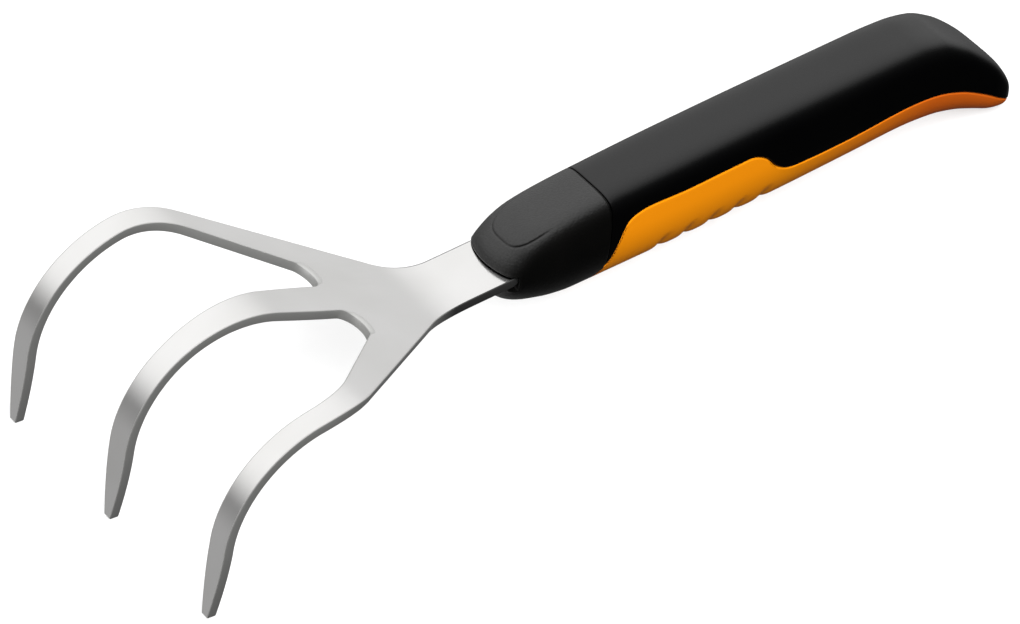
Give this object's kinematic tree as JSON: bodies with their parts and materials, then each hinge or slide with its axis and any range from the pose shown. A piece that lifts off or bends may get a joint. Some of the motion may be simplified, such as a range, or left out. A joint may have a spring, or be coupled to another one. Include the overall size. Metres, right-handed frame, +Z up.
{
  "type": "hand cultivator",
  "caption": "Hand cultivator: one-piece steel head with hooked tines on a cranked tang, in a two-colour moulded grip with a drooping heel.",
  "frame": {"origin": "centre of the bounding box in plan, on the floor that the three tine tips and the heel rest on", "axes": "+X along the handle towards its heel, tines towards -X; +Z up, away from the floor; the tool is the same on its +Y and -Y sides"},
  "size_m": [0.2908, 0.092, 0.0511],
  "materials": {
    "stainless_head": "polished stainless sheet with fine grain, satin on the cut edges",
    "nose_black": "fine spark-textured hard nylon",
    "shell_black": "smooth satin moulding",
    "grip_orange": "matte soft-touch overmoulding",
    "core_black": "plain glass-filled nylon, hidden",
    "pin_steel": "plain drawn steel, hidden"
  },
  "bodies": {
    "root": {"tine_head": "stainless_head", "nose_collar": "nose_black", "upper_shell": "shell_black", "lower_grip": "grip_orange", "handle_core": "core_black", "tang_pin_front": "pin_steel", "tang_pin_rear": "pin_steel"}
  },
  "joints": []
}
